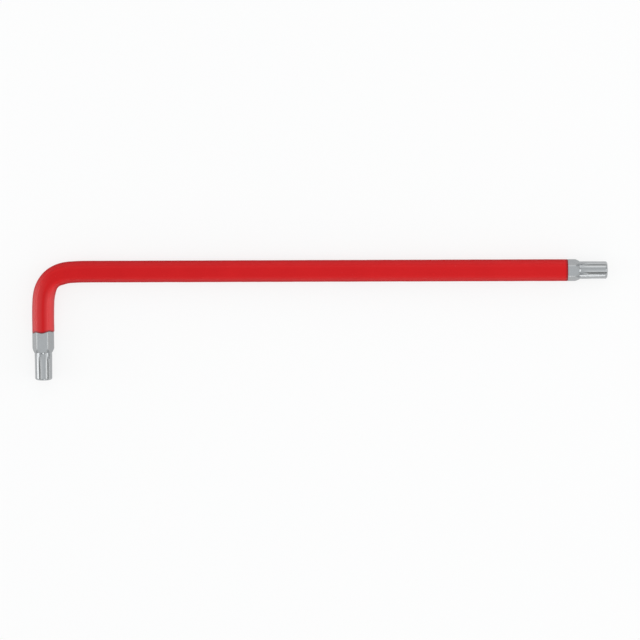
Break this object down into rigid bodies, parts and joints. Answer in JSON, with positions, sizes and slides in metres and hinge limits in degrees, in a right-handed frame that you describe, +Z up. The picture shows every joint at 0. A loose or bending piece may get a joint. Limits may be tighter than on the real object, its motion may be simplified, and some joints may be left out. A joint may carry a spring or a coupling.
{
  "type": "l-key",
  "caption": "L-key bent from hexagon bar, with a ribbed spline tip on each arm and a red plastic sleeve between its bare steel ends, for turning spline-socket screws.",
  "frame": {"origin": "on the surface that the key lies on, below the middle of its outline", "axes": "+X along the long arm to its tip, -Y along the short arm to its tip, +Z up from the surface, square to the plane of the bend"},
  "size_m": [0.1805, 0.0376, 0.0064],
  "materials": {
    "steel": "bright plated, satin",
    "sleeve": "smooth red plastic, satin"
  },
  "bodies": {
    "root": {"key_bar": "steel", "grip_sleeve": "sleeve"}
  },
  "joints": []
}
